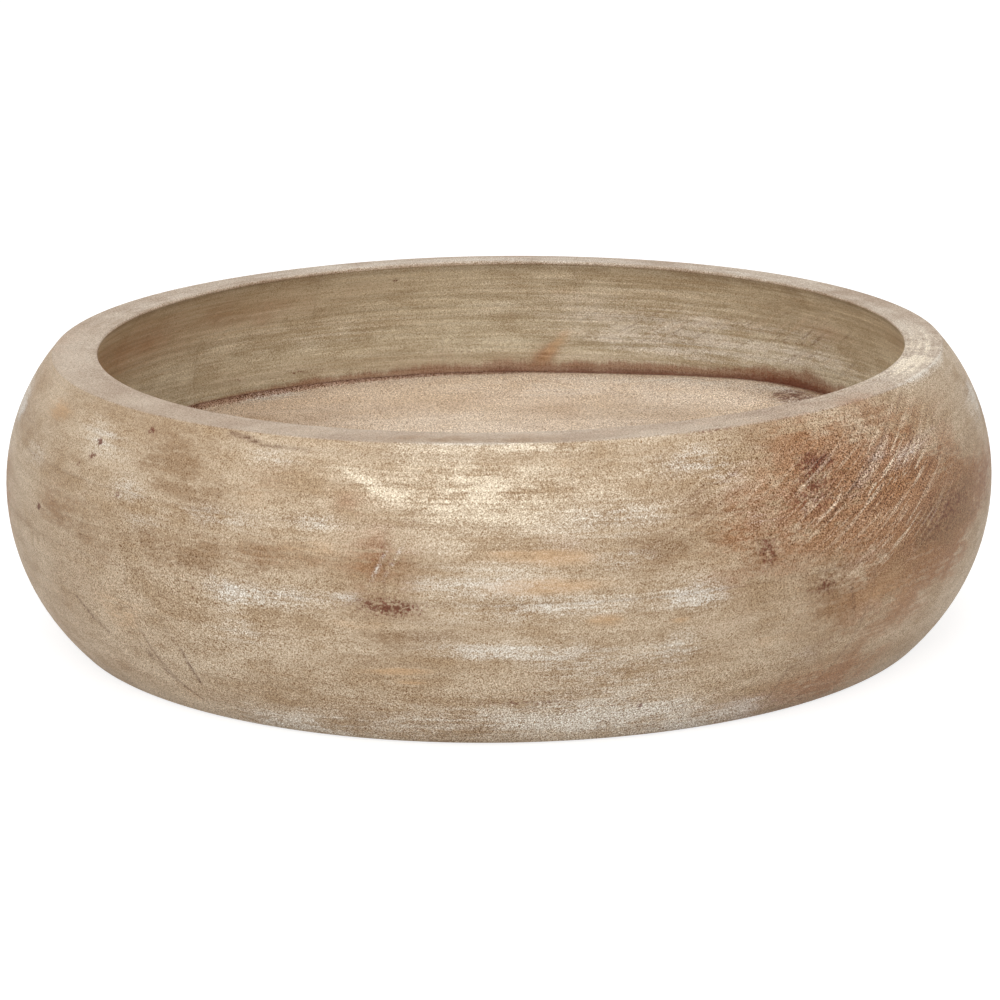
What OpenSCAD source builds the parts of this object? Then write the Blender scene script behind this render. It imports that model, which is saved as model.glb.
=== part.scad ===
// Round wooden dough bowl with a thick base, a bulging side and a flat rim.
// The base is edge-glued boards. The wall on it is two courses of mitred segments, laid like bricks.
// Origin at the middle of the underside, +Z up, and the boards run along X.

/* [Bowl] */
// Diameter at the widest line, where the wall stands on the base
bowl_diameter = 356; // [260:1:460]
// How far the wall leans in from the widest line to the outer edge of the rim
rim_lean = 18.5; // [6:0.5:28]
// Width of the flat rim
rim_width = 14; // [9:0.5:24]

/* [Base] */
// Thickness of the base, from the underside to the floor of the bowl
base_thickness = 54; // [35:1:80]
// How far the base curves in from the widest line to the edge of its underside
base_lean = 23; // [8:0.5:32]
// Width of the boards in the base
board_width = 51; // [30:1:90]

/* [Wall] */
// Height of one course of segments
course_height = 24; // [16:0.5:40]
// Thickness of the wall where it stands on the floor
foot_thickness = 17; // [9:0.5:28]
// Segments in one course
segment_count = 9; // [6:1:14]
// Direction of the lower course's first joint, turned from +X
first_joint = -102; // [-180:1:180]

/* [Hidden] */
$fn = 180;
// How far a cutting shape runs past what it cuts
overcut = 2;

widest_r = bowl_diameter / 2;
underside_r = widest_r - base_lean;
floor_r = widest_r - foot_thickness;
mouth_r = widest_r - rim_lean - rim_width;
wall_height = 2 * course_height;

// Radius of an arc that starts upright and leans in by lean over a height of rise
function arc_radius(rise, lean) = (rise * rise + lean * lean) / (2 * lean);

// The arc of the base and the two arcs of the wall all start upright at the widest line
base_arc = arc_radius(base_thickness, base_lean);
outer_arc = arc_radius(wall_height, rim_lean);
inner_arc = arc_radius(wall_height, floor_r - mouth_r);

// Boards on each side of the middle one, where a leftover under half a board widens the outer board
side_boards = max(1, round((widest_r - board_width / 2) / board_width));
board_count = 1 + 2 * side_boards;
segment_angle = 360 / segment_count;

base_colour = "#b39b7c";
wall_colour = "#b99d7d";
rim_colour = "#c6b498";

// A disc with its edge on the widest line, upright there and curving away with the radius arc
module widest_arc(reach, arc) {
    translate([reach - arc, base_thickness])
        circle(r = arc);
}

// Half section of the whole base, a slab less what lies outside its bulging side
module base_section() {
    difference() {
        square([widest_r + overcut, base_thickness]);
        difference() {
            translate([underside_r - overcut, -overcut])
                square([base_lean + 3 * overcut, base_thickness + 2 * overcut]);
            widest_arc(widest_r, base_arc);
        }
    }
}

// Half section of one course of the wall, standing at the height low
module course_section(low) {
    intersection() {
        difference() {
            widest_arc(widest_r, outer_arc);
            widest_arc(floor_r, inner_arc);
        }
        translate([mouth_r - overcut, low])
            square([widest_r - mouth_r + 2 * overcut, course_height]);
    }
}

// Distance from the middle to the outer joint of the board that lies step boards out,
// where the outermost boards run past the side
function board_edge(step) =
    step == side_boards ? widest_r + overcut : (step + 0.5) * board_width;

// Board i of the base, the middle one first, then outwards in pairs, each front board before its back one
module base_board(i) {
    step = floor(i / 2);
    width = board_edge(step) - board_edge(step - 1);
    front = i % 2 == 0 ? -board_edge(step) : board_edge(step - 1);
    color(base_colour)
        intersection() {
            rotate_extrude() base_section();
            translate([-widest_r - overcut, front, -overcut])
                cube([2 * (widest_r + overcut), width, base_thickness + 2 * overcut]);
        }
}

// One segment of the course at the height low, from the direction joint on
module segment(low, joint) {
    rotate([0, 0, joint])
        rotate_extrude(angle = segment_angle) course_section(low);
}

// Segment i of the lower course, which stands on the base
module wall_segment(i) {
    color(wall_colour)
        segment(base_thickness, first_joint + (i - 1) * segment_angle);
}

// Segment i of the upper course, half a segment further round, with the flat rim on top
module rim_segment(i) {
    color(rim_colour)
        segment(base_thickness + course_height, first_joint + (i - 0.5) * segment_angle);
}

for (i = [1 : board_count])
    base_board(i);
for (i = [1 : segment_count])
    wall_segment(i);
for (i = [1 : segment_count])
    rim_segment(i);
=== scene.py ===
"""Dresses the dough bowl: every board and segment is rebuilt as a turned, limewashed piece of timber."""
import math
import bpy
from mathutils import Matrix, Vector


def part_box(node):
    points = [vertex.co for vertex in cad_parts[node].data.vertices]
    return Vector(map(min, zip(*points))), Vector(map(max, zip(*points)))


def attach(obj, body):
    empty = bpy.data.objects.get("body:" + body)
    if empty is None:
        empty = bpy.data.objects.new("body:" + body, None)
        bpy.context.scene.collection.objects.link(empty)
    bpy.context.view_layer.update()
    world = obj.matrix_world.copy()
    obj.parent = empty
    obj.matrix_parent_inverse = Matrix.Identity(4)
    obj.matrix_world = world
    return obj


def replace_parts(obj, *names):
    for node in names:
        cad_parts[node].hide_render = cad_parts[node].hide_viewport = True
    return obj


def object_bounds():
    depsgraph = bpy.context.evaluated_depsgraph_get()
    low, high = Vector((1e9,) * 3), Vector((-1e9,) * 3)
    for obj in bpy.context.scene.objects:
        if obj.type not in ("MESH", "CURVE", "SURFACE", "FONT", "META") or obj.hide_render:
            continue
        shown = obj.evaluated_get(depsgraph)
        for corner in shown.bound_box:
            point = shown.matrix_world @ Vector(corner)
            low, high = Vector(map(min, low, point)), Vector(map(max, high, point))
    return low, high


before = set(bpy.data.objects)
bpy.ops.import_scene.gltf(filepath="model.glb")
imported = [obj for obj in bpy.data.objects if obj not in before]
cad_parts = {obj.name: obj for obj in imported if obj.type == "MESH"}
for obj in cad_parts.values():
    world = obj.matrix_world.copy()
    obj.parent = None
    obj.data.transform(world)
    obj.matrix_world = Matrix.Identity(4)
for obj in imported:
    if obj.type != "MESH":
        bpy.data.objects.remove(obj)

from types import SimpleNamespace

import bpy
import numpy as np
from mathutils import Matrix, Vector

cad_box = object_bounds()
MM = 0.001

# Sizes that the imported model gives, in metres
WIDEST_R = cad_box[1][0]
RIM_Z = cad_box[1][2]
FLOOR_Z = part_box("base_board_1")[1][2]
COURSE_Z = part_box("wall_segment_1")[1][2]
BOARD_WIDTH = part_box("base_board_1")[1][1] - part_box("base_board_1")[0][1]
BOARD_COUNT = sum(name.startswith("base_board_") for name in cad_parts)
SEGMENT_COUNT = sum(name.startswith("wall_segment_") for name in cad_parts)

# Sizes repeated from the part's source, whose angles start at +X, while those here start at the front
RIM_LEAN = 18.5 * MM
RIM_WIDTH = 14 * MM
BASE_LEAN = 23 * MM
FOOT_THICKNESS = 17 * MM
FIRST_JOINT = math.radians(-102 + 90)

# Rounding that sanding leaves on the edges
RIM_ROUND = 0.7 * MM
UNDERSIDE_ROUND = 5 * MM
ROUND_STEPS = 5

# Spacing of the mesh round the bowl, up its side and across hidden joints
ROUND_STEP = 1.2 * MM
UP_STEP = 0.8 * MM
JOINT_STEP = 2.8 * MM

# Eased edges at the glue joints
EASE_DEPTH = 0.04 * MM
EASE_WIDTH = 0.30 * MM
EASE_LINES = np.array([0.18, 0.42, 0.80]) * MM

# Width of the dirt along a glue joint, how much of it lies there, and how far the painted shade under the
# rim reaches down
SEAM_WIDTH = 0.5 * MM
SEAM_DIRT = 0.15
UNDER_RIM = 2.2 * MM

# Turning marks: the spacings of two sets of fine ridges, the length over which they fade in and out,
# their height, the share of the radius that joins the height in placing them, and how far they fade in
# above the table
WIDE_RIDGES = 3.3 * MM
NARROW_RIDGES = 2.1 * MM
RIDGE_FADE = 37 * MM
RIDGE_HEIGHT = 0.022 * MM
RIDGE_SLOPE = 0.3
FOOT_FADE = 2 * MM

# Slow swell under the turning marks: its height, the length over which its finest wave slants, and how
# much of swell and ridges the floor has
SWELL_HEIGHT = 0.12 * MM
SWELL_SLANT = 15 * MM
FLOOR_RELIEF = 0.4

# Where the hand turning ran out of true: the rim is wider on the left and in front and narrower at the
# back, each as an angle, a reach and an extra width
WIDER_RIM = (
    (math.radians(-88), math.radians(42), 2.6 * MM),
    (0.0, math.radians(45), 2.4 * MM),
    (math.pi, math.radians(45), -2.8 * MM),
)

# The floor lies a little low and tilts up to the right. A short ramp brings it back to its drawn height
# at the wall, and where the floor is raised the ramp lies further out, under the foot of the wall
FLOOR_DROP = 0.7 * MM
FLOOR_TILT = 2.6 * MM
FLOOR_RAMP = 2 * MM
UNDER_WALL = 5 * MM

# Old dirt that fills the corner of the floor at the back on the right
FILL_HEIGHT = 2.6 * MM
FILL_WIDTH = 25 * MM
FILL_PLACE = math.radians(136)
FILL_REACH = math.radians(18)

# Points closer than this are one point, and edges sharper than this stay sharp
WELD_GAP = 0.002 * MM
SHARP_EDGE = math.radians(40)

# Start of the random place that each plank's grain is cut from
GRAIN_SEED = 7919

# A distance from a joint so large that nothing of the joint shows
NO_JOINT = 1.0

# Kinds of surface along a section
OUTSIDE, RIM, INSIDE, FLOOR, UNDERSIDE, JOINT = range(6)


def arc_radius(rise, lean):
    """Radius of an arc that starts upright and leans in by lean over a height of rise."""
    return (rise**2 + lean**2) / (2 * lean)


FLOOR_R = WIDEST_R - FOOT_THICKNESS
EDGE_R = WIDEST_R - RIM_LEAN
MOUTH_R = WIDEST_R - RIM_LEAN - RIM_WIDTH
BASE_ARC = arc_radius(FLOOR_Z, BASE_LEAN)
OUTER_ARC = arc_radius(RIM_Z - FLOOR_Z, RIM_LEAN)
INNER_ARC = arc_radius(RIM_Z - FLOOR_Z, FLOOR_R - MOUTH_R)
SEGMENT_ANGLE = 2 * math.pi / SEGMENT_COUNT


# Looks that every point of a piece carries, three to an attribute: marks of the finish (white wash, with
# painted highlights and sheen among its marks, bare tan wood, dark stains), wear (slanted scratches, warm
# brown, dirt in joints and cracks), the side that the point lies on (the rim, the hollow, the corner of
# the floor), touch (speckle, turning lines, painted shade) and tone (dull brown, cream that in front is
# mostly a painted highlight, level streaks)
LOOKS = {
    "marks": ("wash", "tan", "stain"),
    "wear": ("scuff", "ruddy", "seam"),
    "side": ("rim", "hollow", "corner"),
    "touch": ("grain", "rings", "shade"),
    "tone": ("umber", "cream", "streaks"),
}
LOOK_NAMES = sum(LOOKS.values(), ())

# Marks that the finish carries, in order of their angles, each with its angle from the front in
# degrees, to the right, its height, its half length round the bowl and its half height in millimetres,
# its tilt in degrees and its strength. Some wash and cream marks are painted highlights, sheen and
# bounced light, as noted where they stand

# On the outside, left of the front
LEFT_MARKS = {
    # Among these, (-88, 47), (-86, 84) and (-82, 20) are painted sheen along the left edge, and (-25, 5)
    # is painted light bounced from the floor onto the bottom edge
    "wash": (
        (-88, 47, 24, 8, 0, 0.6), (-86, 84, 20, 7, 0, 0.6), (-82, 20, 18, 7, 0, 0.4),
        (-67, 79, 14, 6, 0, 0.5), (-52, 92, 15, 5, -4, 0.6), (-45, 79, 10, 4, 0, 0.8),
        (-42, 71, 12, 3, 0, 0.5), (-32, 76, 18, 3.5, 0, 0.5), (-30, 53, 9, 4.5, 0, 0.9),
        (-29, 1, 16, 5, 0, 0.5), (-28, 40, 14, 8, 0, 0.4), (-26, 95, 12, 3, 0, 0.6),
        (-25, 5, 30, 6, 0, 0.7), (-23, 53, 14, 3.5, 0, 1.0), (-20, 78, 10, 3, 0, 0.6),
    ),
    "tan": (
        (-65, 94, 16, 4, 0, 0.6), (-46, 37, 13, 9, 0, 0.6), (-38, 11, 12, 5, 0, 0.6),
        (-26, 84, 13, 5, 0, 0.4), (-20, 70, 16, 4, 0, 0.5),
    ),
    "stain": (
        (-62.5, 63, 2.2, 1.3, 0, 2.2), (-57, 67, 14, 6, 0, 0.5), (-55, 82.5, 2, 1.2, 0, 1.6),
        (-53, 85.5, 2.4, 1.5, 0, 2.0), (-52.5, 90.5, 2, 1.3, 0, 2.4), (-46.5, 77, 1.6, 1.2, 0, 1.8),
        (-44.5, 97.5, 1.6, 1.2, 0, 1.8), (-38, 65, 18, 6, 0, 0.35), (-36, 87, 18, 8, 0, 0.3),
        (-34, 52, 1.1, 1.1, 0, 2.0), (-24.5, 68, 22, 6, 0, 0.35), (-24.5, 89, 16, 6, 0, 0.3),
    ),
    "umber": (
        (-65, 50, 40, 40, 0, 0.3), (-64, 93, 10, 4, 0, 0.7), (-58, 66, 16, 9, 0, 0.5),
        (-50, 61, 16, 8, 0, 0.6), (-50, 100, 60, 5, 0, 0.3), (-42, 64, 14, 7, 0, 0.6),
        (-39, 89, 22, 9, 0, 1.2), (-36, 65, 22, 7, 0, 0.9), (-33, 60, 14, 6, 0, 0.5),
        (-33, 80, 16, 6, 0, 0.6), (-25, 59, 14, 4, 0, 0.6), (-25, 67, 22, 5, 0, 0.7),
        (-25, 88, 14, 6, 0, 0.4),
    ),
    "ruddy": (
        (-60, 66, 14, 8, 0, 0.4), (-50, 60, 50, 40, 0, 0.2), (-25, 66, 24, 4, 0, 0.5),
        (-25, 90, 15, 5, 0, 0.5),
    ),
    "streaks": (
        (-52, 60, 80, 60, 0, -0.2),
    ),
}

# On the outside, in front
FRONT_MARKS = {
    # Among these, (-3, 102) is a painted highlight on the rim's outer edge
    "wash": (
        (-16, 55, 6, 2, 0, 0.5), (-12.6, 65.5, 6, 0.7, 62, 0.8), (-11, 67.5, 6, 0.7, 60, 0.8),
        (-4, 60, 20, 4, 0, 0.4), (-3, 102, 20, 1, 0, 0.8), (-2, 38, 18, 3, 0, 0.9),
        (2, 10, 60, 9, 0, 0.7), (2, 52, 18, 4, 0, 0.5), (3, 64, 50, 16, 0, 0.3), (7, 36, 14, 5, 0, 0.5),
        (7, 73, 16, 3, 0, 0.2), (10, 53, 20, 3, 0, 0.5), (11, 11, 15, 4.5, 0, 0.9),
        (12, 27, 30, 12, 0, 0.5), (12, 80.5, 20, 4, 0, 0.6), (13, 67, 9, 2.5, 0, 0.5),
        (19, 36, 8, 5, 0, 0.7), (20, 13, 9, 3, 4, 0.8),
    ),
    # Most cream marks here are a painted highlight: the bright patch high on the front and the thin line
    # just under the rim's edge; (-14, 90) is a pale slanted streak
    "cream": (
        (-14, 90, 12, 1.5, -20, 1.2), (-8, 97, 30, 3, 0, 0.2), (-3, 90, 23, 7, 0, 0.85),
        (0, 82, 56, 12, 0, 0.45), (0, 100.5, 40, 1.6, 0, 0.9), (12, 92, 30, 4, 0, 0.15),
        (15, 110, 60, 7, 0, 0.2),
    ),
    "tan": (
        (-15, 46, 20, 2, 0, 0.5), (-12, 30, 15, 1.6, 2, 1.0), (-9, 26.5, 8, 1.6, -2, 1.0),
        (2, 69.5, 18, 2.2, 0, 1.1), (4.5, 59.5, 20, 3, 1, 1.3), (7, 67.5, 12, 3, 0, 0.7),
        (7, 96, 7, 2, 0, 0.5), (10.5, 47.5, 7, 2.4, 0, 1.1), (14.5, 29, 5, 3.5, 0, 0.5),
        (19, 45.5, 4, 1.4, 0, 0.9),
    ),
    "stain": (
        (-13.5, 16.5, 8, 7, 0, 0.5), (-12, 52.3, 17, 4.5, 0, 1.0), (-12, 68, 9, 8, 20, 0.7),
        (-11, 52.3, 8, 3, 0, 0.5), (-9, 81, 5, 3, 0, 0.7), (1.5, 18.5, 24, 1, 0, 1.1),
        (12, 49, 22, 3.5, 0, 0.4), (15.5, 14.5, 1.1, 1.1, 0, 1.8), (15.5, 70, 11, 4, 0, 0.5),
    ),
    "umber": (
        (-14, 34, 24, 5, 0, 0.7), (-12, 52, 16, 4, 0, 0.5), (-12, 62, 14, 12, 0, 0.5),
        (-10, 42, 20, 3, 0, 0.9), (-8, 66, 14, 5, 0, 0.4), (-5, 45, 14, 4, 0, 0.5),
        (-5, 98, 40, 3, 0, 0.4), (-3, 106, 40, 5, 0, 0.9), (0, 99, 130, 3, 0, 0.35),
        (13.5, 74, 12, 5, 0, 0.5), (15, 67, 26, 6, 0, 0.5), (18, 69, 12, 4, 0, 1.0),
    ),
    "ruddy": (
        (-16.5, 83.5, 6, 5, 0, 0.6), (-12.5, 66, 12, 14, 0, 1.0), (0, 110, 130, 5, 0, 0.3),
        (7, 72, 12, 5, 0, 0.5),
    ),
    "streaks": (
        (10, 80, 80, 30, 0, 0.1),
    ),
}

# On the outside, right of the front
RIGHT_MARKS = {
    # Among these, (25, 4) is painted light bounced from the floor onto the bottom edge, (68, 102) a
    # painted highlight on the rim's outer edge, (75, 110) painted light on the rim, and (78, 84), (84,
    # 86) and (88, 38) painted sheen along the right edge
    "wash": (
        (20.5, 52.5, 12, 5, 0, 1.0), (23, 94, 20, 5, 0, 0.7), (25, 4, 30, 6, 0, 1.0),
        (25, 88, 12, 4, 2, 0.4), (29, 75, 10, 6, 0, 0.4), (30, 9, 10, 4, 0, 0.4),
        (36, 24, 14, 5, 0, 0.3), (44, 37, 12, 6, 0, 0.4), (44, 57, 14, 3, 16, 0.5),
        (44, 80.5, 12, 2.2, 30, 0.5), (49, 88, 12, 2, 28, 0.35), (54, 84, 30, 3, 12, 0.5),
        (57, 54, 34, 14, 0, -1.0), (68, 102, 44, 1.2, 0, 0.8), (75, 110, 44, 8, 0, 0.6),
        (78, 84, 16, 7, 0, 0.5), (84, 86, 18, 7, 0, 0.5), (88, 38, 22, 7, 0, 0.5),
    ),
    # A painted highlight that lightens the rim on the right
    "cream": (
        (75, 110, 44, 8, 0, 1.2),
    ),
    "tan": (
        (30, 33, 16, 3, 0, 0.4), (46, 40, 20, 10, 8, 0.6), (48, 66, 30, 12, 0, 0.35),
        (58, 62, 16, 2.5, 14, 0.4),
    ),
    "stain": (
        (25, 101.5, 14, 0.9, 0, 0.9), (29, 64, 5, 7, 0, 1.2), (33, 5, 20, 6, 0, 0.5),
        (34, 20, 4, 8, 0, 0.5), (36, 80, 13, 9, 30, 0.85), (36.5, 49, 9, 5, 0, 1.1),
        (37.5, 88.5, 7, 2.6, -4, 1.6), (38, 28, 12, 6, 40, 0.5), (44, 80, 44, 17, 0, 0.5),
        (45, 36, 14, 3, 20, 0.6), (58, 60, 30, 10, 8, 1.1), (74, 60, 20, 12, 0, 0.7),
    ),
    "umber": (
        (20.5, 80, 10, 5, 0, 0.5), (21, 72, 10, 4, 0, 0.5), (21, 90, 14, 6, 0, 0.6),
        (23, 78, 10, 6, 0, 0.5), (28, 63, 10, 6, 0, 0.7), (30, 98, 12, 4, 0, 0.7),
        (36.5, 51, 10, 5, 0, 0.5), (37, 50, 10, 16, 0, 0.6), (38, 26, 34, 14, 0, 0.5),
        (46, 46, 26, 8, 0, 0.5), (46, 95, 16, 5, 0, 0.7), (58, 57, 26, 9, 6, 1.4),
        (62, 62, 24, 12, 0, 0.8),
    ),
    "ruddy": (
        (24, 58, 18, 30, 0, 0.3), (27, 72, 17, 12, 0, 0.7), (28, 5, 20, 6, 0, 0.3),
        (35, 8, 28, 9, 0, 0.9), (36, 97, 16, 5, 0, 0.5), (44, 10, 24, 10, 0, 0.7),
        (44, 42, 28, 12, 0, 0.9), (45, 64, 40, 9, 0, 0.7), (46, 80, 50, 21, 0, 1.6),
        (50, 28, 34, 14, 0, 0.5), (56, 63, 18, 8, 0, 1.5), (57, 55, 30, 9, 6, 2.0),
        (58, 66, 30, 10, 0, 0.9), (60, 44, 20, 10, 0, 1.0), (72, 62, 22, 12, 0, 0.8),
        (92, 58, 44, 14, 0, 0.5),
    ),
    "scuff": (
        (24, 84, 26, 12, 8, 0.8), (36, 76, 12, 12, 0, 0.6), (47, 57, 24, 6, 14, 1.1),
        (49, 80, 38, 16, 12, 1.5),
    ),
}

# On the inside of the wall, where a larger angle lies further left in the photograph's view
INSIDE_MARKS = {
    "wash": (
        (115, 66, 30, 4, 0, 0.5), (128, 69, 40, 2.5, -3, 0.6), (129, 78, 18, 6, 0, 0.5),
        (131, 58, 10, 1.5, 0, 1.0), (140, 72, 60, 2, -1, 0.7), (146, 79, 50, 2, -1, 0.6),
        (150, 64, 50, 5, 0, 0.5), (151, 70, 24, 5, 0, 0.4), (155, 74, 50, 8, 0, 0.4),
        (160, 68, 20, 5, 0, 0.5), (165, 85, 70, 12, 0, 0.4), (208, 74, 40, 8, 0, 0.4),
    ),
    "tan": (
        (170, 89, 12, 3, 0, 0.5), (170.5, 68, 6, 3, -30, 0.5), (172.5, 62, 11, 3, -50, 0.8),
        (220, 84, 30, 8, 0, 0.2),
    ),
    "stain": (
        (95, 88, 36, 12, 0, 0.4), (134, 58.5, 24, 3, 0, 2.2), (134, 75.5, 40, 0.9, -2, 0.9),
        (142, 82, 34, 0.9, -2, 0.7), (188, 63, 34, 1.0, 3, 0.6), (192, 66, 30, 0.9, 3, 0.5),
        (195.5, 95.5, 1.1, 1.1, 0, 2.0), (208, 59.5, 24, 1.6, 2, 0.8), (220, 60, 8, 2, 0, 0.7),
        (238, 92, 40, 8, 0, 0.45), (268, 80, 36, 22, 0, 0.5),
    ),
    "umber": (
        (169, 57, 16, 3, 0, 0.6), (191, 57.5, 24, 4, 0, 0.6), (205, 92, 50, 8, 0, 0.5),
        (228, 92, 30, 10, 0, 0.5),
    ),
    "scuff": (
        (128, 78, 40, 14, 0, 0.6), (155, 77, 50, 12, 0, 0.45), (225, 80, 40, 14, 0, 0.35),
    ),
    "ruddy": (
        (100, 92, 40, 8, 0, 0.4), (125, 84, 22, 5, 0, 0.6), (173, 61, 9, 4, -40, 1.0),
        (180, 60, 200, 4, 0, 0.4), (217, 88, 36, 8, 0, 0.6), (242, 86, 40, 12, 0, 0.8),
        (262, 78, 40, 22, 0, 0.7),
    ),
}

# On the floor, where the distance from the axis stands in for the height
FLOOR_MARKS = {
    "wash": (
        (122, 146, 30, 8, 0, 0.8), (126, 152, 12, 6, 0, 0.9), (133, 155, 10, 3, 0, 1.2),
        (150, 152, 60, 8, 0, 0.6), (170, 130, 80, 20, 0, 0.4), (214, 158, 20, 5, 0, 1.2),
    ),
    "stain": (
        (130, 150, 16, 10, 0, 1.5), (210, 120, 30, 20, 0, 0.2),
    ),
    "umber": (
        (130, 150, 20, 12, 0, 0.6), (139, 148, 16, 8, 0, 0.5), (142, 104, 80, 30, 0, 0.6),
        (180, 20, 900, 66, 0, 0.5), (235, 120, 90, 40, 0, 1.0),
    ),
    "ruddy": (
        (165, 90, 30, 30, 0, 0.35), (190, 110, 60, 16, 0, 0.4), (245, 120, 70, 40, 0, 0.5),
    ),
}

# Places where a glue joint has opened and holds dirt, in the same form
OPEN_JOINTS = ((-40, 22, 16, 18, 0, 0.35), (39, 36, 10, 16, 0, 0.8), (-10, 66, 6, 14, 0, 0.3))

# Cracks and scratches in the wood, each from one angle and height to another, with its half width and
# its depth in millimetres
CRACKS = (
    (-33.0, 100.8, -30.5, 100.2, 0.5, 0.30), (-30.5, 100.2, -28.0, 98.8, 0.5, 0.30),
    (-28.0, 98.8, -22.0, 98.2, 0.4, 0.18),
    (-54.5, 36.5, -52.0, 30.5, 0.6, 0.35), (-52.0, 30.5, -49.5, 26.5, 0.5, 0.20),
    (-39.5, 38.0, -37.5, 28.0, 0.4, 0.12), (-37.5, 28.0, -36.5, 15.5, 0.6, 0.40),
    (-44.0, 26.0, -40.5, 14.0, 0.5, 0.24), (-40.5, 14.0, -37.5, 6.5, 0.5, 0.24),
    (33.5, 20.0, 32.6, 9.0, 0.5, 0.20), (40.4, 47.0, 41.4, 38.0, 0.5, 0.28),
    (37.0, 70.0, 44.0, 82.0, 0.5, 0.26), (44.0, 82.0, 51.5, 93.5, 0.5, 0.20),
)

# Depth from which a crack is quite dark, in millimetres
DARK_DEPTH = 0.30

# How strongly the fine speckle, the level streaks and the turning lines show on each kind of surface
GRAIN = {OUTSIDE: 1.0, RIM: 1.0, INSIDE: 0.8, FLOOR: 2.3, UNDERSIDE: 0.8, JOINT: 0.8}
STREAKS = {OUTSIDE: 0.3, RIM: 0.3, INSIDE: 1.0, FLOOR: 0.4, UNDERSIDE: 0.3, JOINT: 0.0}
RINGS = {OUTSIDE: 0.22, RIM: 0.15, INSIDE: 0.55, FLOOR: 0.12, UNDERSIDE: 0.10, JOINT: 0.0}

# Places on the outside where the speckle is stronger, in the form of the marks
STRONG_GRAIN = (
    (-40, 50, 60, 30, 0, 0.5), (5, 2, 170, 24, 0, 0.9),
    (45, 80, 60, 26, 0, 1.6), (180, 40, 150, 40, 0, 0.3),
)

# Share of the speckle's swing in red, green and blue: its dark grains are brown and its light ones cream
SPECKLE_TINT = (0.82, 1.0, 1.20)

# How far the dirt in the corner of the floor reaches up the wall: all round, and where there is more or
# less of it (angle, reach, extra height)
CORNER_REACH = 7.5 * MM
CORNER_CHANGES = (
    (math.radians(131), math.radians(9), 3 * MM),
    (math.radians(225), math.radians(30), -3 * MM),
    (math.radians(147), math.radians(10), -2 * MM),
)

# On the floor the dirt is a narrow line, with a soft painted shade beside it
FLOOR_DIRT = 3 * MM
FLOOR_SHADE = 0.32
FLOOR_SHADE_WIDTH = 9 * MM

# Where the marks on the unseen back may lie: angles and tilts in degrees, heights in millimetres
BACK_ANGLES = (78, 282)
BACK_HEIGHTS = (5, 98)
BACK_TILTS = (-6, 6)


# Forms: the section of the bowl

def outside_r(z):
    """Radius of the outside at the height z: an arc above the widest line and another below it."""
    above = OUTER_ARC - np.sqrt(OUTER_ARC**2 - np.clip(z - FLOOR_Z, 0, None)**2)
    below = BASE_ARC - np.sqrt(BASE_ARC**2 - np.clip(FLOOR_Z - z, 0, None)**2)
    return WIDEST_R - above - below


def inside_r(z):
    """Radius of the inside of the wall at the height z, one arc that starts upright at the floor."""
    return FLOOR_R - INNER_ARC + np.sqrt(INNER_ARC**2 - (z - FLOOR_Z)**2)


def eased_lines(start, stop, step):
    """Even places from start to stop, with closer ones next to both ends, where the joints are eased."""
    even = np.linspace(start, stop, max(2, round(abs(stop - start) / step)) + 1)
    near = EASE_LINES * np.sign(stop - start)
    clear = 1.5 * EASE_LINES[-1]
    inner = even[(np.abs(even - start) > clear) & (np.abs(even - stop) > clear)]
    return np.concatenate([[start], start + near, inner, (stop - near)[::-1], [stop]])


def side_line(z, upper):
    """Line of the outside at the heights z with its outward normal: rows of r, z, normal r, normal z."""
    arc = OUTER_ARC if upper else BASE_ARC
    rise = (z - FLOOR_Z) / arc
    return np.stack([outside_r(z), z, np.sqrt(1 - rise**2), rise], 1)


def inner_line(z):
    """Line of the inside of the wall at the heights z, with the normal that points away from the wood."""
    rise = (z - FLOOR_Z) / INNER_ARC
    return np.stack([inside_r(z), z, -np.sqrt(1 - rise**2), -rise], 1)


def level_line(r, z, up):
    """Level line at the height z over the radii r, with its normal straight up or down."""
    return np.stack([r, np.full_like(r, z), np.zeros_like(r), np.full_like(r, up)], 1)


def rounded_corner(corner, heading_in, heading_out, radius):
    """Arc that rounds a corner of a section that runs anticlockwise, tangent to both headings."""
    left = np.array([-heading_in[1], heading_in[0]])
    turn = math.acos(np.clip(np.dot(heading_in, heading_out), -1, 1))
    centre = corner - heading_in * radius * math.tan(turn / 2) + left * radius
    first = math.atan2(-left[1], -left[0])
    angle = first + np.linspace(0, turn, ROUND_STEPS + 2)
    normal = np.stack([np.cos(angle), np.sin(angle)], 1)
    return np.concatenate([centre + radius * normal, normal], 1)


def joined(*parts):
    """One section from (kind, line) parts, as rows of r, z, normal r, normal z and an array of kinds."""
    line = np.concatenate([part for _, part in parts])
    kind = np.concatenate([np.full(len(part), name) for name, part in parts])
    return line, kind


def wall_section():
    """Closed section of the lower course: up the outside, in along the joint, down the inside, and out
    along the floor."""
    up = eased_lines(FLOOR_Z, COURSE_Z, UP_STEP)
    outer = side_line(up, True)
    inner = inner_line(up[::-1])
    steps = round((outer[-1, 0] - inner[0, 0]) / JOINT_STEP)
    top = np.linspace(outer[-1, 0], inner[0, 0], steps + 1)[1:-1]
    bottom = np.linspace(inner[-1, 0], outer[0, 0], steps + 1)[1:-1]
    return joined((OUTSIDE, outer), (JOINT, level_line(top, COURSE_Z, 1)),
                  (INSIDE, inner), (JOINT, level_line(bottom, FLOOR_Z, -1)))


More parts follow.
